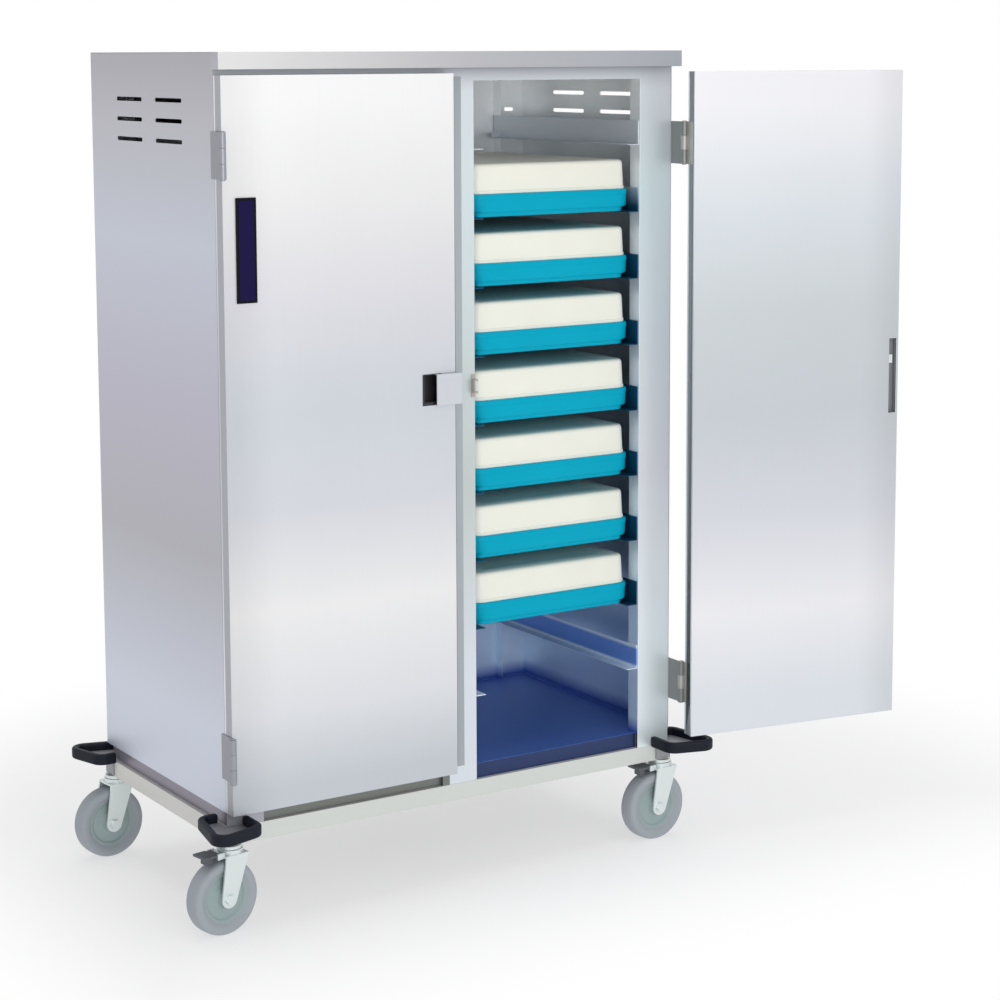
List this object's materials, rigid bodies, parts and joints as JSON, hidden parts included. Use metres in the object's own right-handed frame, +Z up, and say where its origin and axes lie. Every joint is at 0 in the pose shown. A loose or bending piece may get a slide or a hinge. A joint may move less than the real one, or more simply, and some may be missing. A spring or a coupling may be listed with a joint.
{
  "type": "enclosed meal tray cart",
  "caption": "Enclosed two-bay stainless steel cart for meal trays, with hinged doors, angle rails, corner bumpers and swivel casters",
  "frame": {"origin": "centre of the outline as drawn (right door open), on the floor", "axes": "+X to the cart's right seen from the front, +Y from the doors to the back panel, +Z up"},
  "size_m": [1.423, 0.6814, 1.457],
  "materials": {
    "body_steel": "satin brushed stainless sheet",
    "door_steel": "satin brushed stainless sheet",
    "frame_steel": "dull stainless tube and plate",
    "seal_grey": "dark grey edge profile",
    "black_rubber": "matt black rubber",
    "black_plastic": "black plastic",
    "dark_blue_plastic": "near black blue plastic",
    "zinc_steel": "zinc plated steel",
    "grey_tyre": "light grey non-marking rubber",
    "tray_teal": "moulded teal plastic",
    "lid_cream": "moulded cream plastic"
  },
  "bodies": {
    "cabinet": {"base_frame": "frame_steel", "floor_pan": "frame_steel", "left_side_panel": "body_steel", "right_side_panel": "body_steel", "back_panel": "body_steel", "top_cap": "body_steel", "centre_partition": "body_steel", "front_frame": "body_steel", "rear_uprights": "body_steel", "left_bay_rails": "body_steel", "right_bay_rails": "body_steel", "corner_plates": "frame_steel", "corner_bumpers": "black_rubber", "hinge_frame_leaves": "body_steel", "hinge_pins": "zinc_steel", "latch_keepers": "frame_steel", "caster_stems": "zinc_steel"},
    "left_door": {"left_door_skin": "door_steel", "left_door_liner": "door_steel", "left_door_seal": "seal_grey", "left_door_leaves": "zinc_steel", "left_latch_housing": "black_plastic", "plate_holder": "dark_blue_plastic"},
    "left_paddle": {"left_latch_paddle": "door_steel"},
    "left_bolt": {"left_latch_bolt": "zinc_steel"},
    "right_door": {"right_door_skin": "door_steel", "right_door_liner": "door_steel", "right_door_seal": "seal_grey", "right_door_leaves": "zinc_steel", "right_latch_housing": "black_plastic"},
    "right_paddle": {"right_latch_paddle": "door_steel"},
    "right_bolt": {"right_latch_bolt": "zinc_steel"},
    "front_left_caster": {"front_left_fork": "zinc_steel", "front_left_axle": "zinc_steel"},
    "front_left_roller": {"front_left_wheel": "grey_tyre"},
    "front_right_caster": {"front_right_fork": "zinc_steel", "front_right_axle": "zinc_steel"},
    "front_right_roller": {"front_right_wheel": "grey_tyre"},
    "back_left_caster": {"back_left_fork": "zinc_steel", "back_left_axle": "zinc_steel"},
    "back_left_roller": {"back_left_wheel": "grey_tyre"},
    "back_right_caster": {"back_right_fork": "zinc_steel", "back_right_axle": "zinc_steel"},
    "back_right_roller": {"back_right_wheel": "grey_tyre"},
    "front_left_pedal": {"front_left_brake_pedal": "black_plastic"},
    "front_right_pedal": {"front_right_brake_pedal": "black_plastic"},
    "tray_1": {"tray_base_1": "tray_teal", "tray_lid_1": "lid_cream"},
    "tray_2": {"tray_base_2": "tray_teal", "tray_lid_2": "lid_cream"},
    "tray_3": {"tray_base_3": "tray_teal", "tray_lid_3": "lid_cream"},
    "tray_4": {"tray_base_4": "tray_teal", "tray_lid_4": "lid_cream"},
    "tray_5": {"tray_base_5": "tray_teal", "tray_lid_5": "lid_cream"},
    "tray_6": {"tray_base_6": "tray_teal", "tray_lid_6": "lid_cream"},
    "tray_7": {"tray_base_7": "tray_teal", "tray_lid_7": "lid_cream"}
  },
  "joints": [
    {"name": "left_door_hinge", "type": "hinge", "parent": "cabinet", "child": "left_door", "pos_m": [-0.64261, -0.23782, 0.207], "axis": [0, 0, -1], "range_deg": [0, 265]},
    {"name": "right_door_hinge", "type": "hinge", "parent": "cabinet", "child": "right_door", "pos_m": [0.27239, -0.23782, 0.207], "axis": [0, 0, 1], "range_deg": [-171, 94]},
    {"name": "left_paddle_pull", "type": "hinge", "parent": "left_door", "child": "left_paddle", "pos_m": [-0.20911, -0.23302, 0.883], "axis": [0, 0, 1], "range_deg": [0, 30], "stiffness_Nm_per_rad": 0.3, "springref_deg": -11.46},
    {"name": "left_bolt_slide", "type": "slide", "parent": "left_door", "child": "left_bolt", "axis": [-1, 0, 0], "range_m": [0, 0.012]},
    {"name": "right_paddle_pull", "type": "hinge", "parent": "right_door", "child": "right_paddle", "pos_m": [0.6998, -0.31038, 0.883], "axis": [0, 0, -1], "range_deg": [0, 30], "stiffness_Nm_per_rad": 0.3, "springref_deg": -11.46},
    {"name": "right_bolt_slide", "type": "slide", "parent": "right_door", "child": "right_bolt", "axis": [-0.9877, 0.1564, 0], "range_m": [0, 0.012]},
    {"name": "front_left_swivel", "type": "hinge", "parent": "cabinet", "child": "front_left_caster", "pos_m": [-0.62911, -0.19132, 0.14], "axis": [0, 0, 1], "continuous": true},
    {"name": "front_left_roll", "type": "hinge", "parent": "front_left_caster", "child": "front_left_roller", "pos_m": [-0.64684, -0.19445, 0.0635], "axis": [-0.1736, 0.9848, 0], "continuous": true},
    {"name": "front_right_swivel", "type": "hinge", "parent": "cabinet", "child": "front_right_caster", "pos_m": [0.25889, -0.19132, 0.14], "axis": [0, 0, 1], "continuous": true},
    {"name": "front_right_roll", "type": "hinge", "parent": "front_right_caster", "child": "front_right_roller", "pos_m": [0.24092, -0.19227, 0.0635], "axis": [-0.0523, 0.9986, 0], "continuous": true},
    {"name": "back_left_swivel", "type": "hinge", "parent": "cabinet", "child": "back_left_caster", "pos_m": [-0.62911, 0.27468, 0.14], "axis": [0, 0, 1], "continuous": true},
    {"name": "back_left_roll", "type": "hinge", "parent": "back_left_caster", "child": "back_left_roller", "pos_m": [-0.64704, 0.27311, 0.0635], "axis": [-0.0872, 0.9962, 0], "continuous": true},
    {"name": "back_right_swivel", "type": "hinge", "parent": "cabinet", "child": "back_right_caster", "pos_m": [0.25889, 0.27468, 0.14], "axis": [0, 0, 1], "continuous": true},
    {"name": "back_right_roll", "type": "hinge", "parent": "back_right_caster", "child": "back_right_roller", "pos_m": [0.24103, 0.27248, 0.0635], "axis": [-0.1219, 0.9925, 0], "continuous": true},
    {"name": "front_left_pedal_tilt", "type": "hinge", "parent": "front_left_caster", "child": "front_left_pedal", "pos_m": [-0.65964, -0.19671, 0.138], "axis": [0.1736, -0.9848, 0], "range_deg": [0, 12]},
    {"name": "front_right_pedal_tilt", "type": "hinge", "parent": "front_right_caster", "child": "front_right_pedal", "pos_m": [0.22793, -0.19295, 0.138], "axis": [0.0523, -0.9986, 0], "range_deg": [0, 12]},
    {"name": "tray_1_slide", "type": "slide", "parent": "cabinet", "child": "tray_1", "axis": [0, -1, 0], "range_m": [0, 0.45]},
    {"name": "tray_2_slide", "type": "slide", "parent": "cabinet", "child": "tray_2", "axis": [0, -1, 0], "range_m": [0, 0.45]},
    {"name": "tray_3_slide", "type": "slide", "parent": "cabinet", "child": "tray_3", "axis": [0, -1, 0], "range_m": [0, 0.45]},
    {"name": "tray_4_slide", "type": "slide", "parent": "cabinet", "child": "tray_4", "axis": [0, -1, 0], "range_m": [0, 0.45]},
    {"name": "tray_5_slide", "type": "slide", "parent": "cabinet", "child": "tray_5", "axis": [0, -1, 0], "range_m": [0, 0.45]},
    {"name": "tray_6_slide", "type": "slide", "parent": "cabinet", "child": "tray_6", "axis": [0, -1, 0], "range_m": [0, 0.45]},
    {"name": "tray_7_slide", "type": "slide", "parent": "cabinet", "child": "tray_7", "axis": [0, -1, 0], "range_m": [0, 0.45]}
  ],
  "couplings": [
    {"joint": "left_paddle_pull", "follows": "left_bolt_slide", "rad_per_m": 43.633},
    {"joint": "right_paddle_pull", "follows": "right_bolt_slide", "rad_per_m": 43.633}
  ]
}
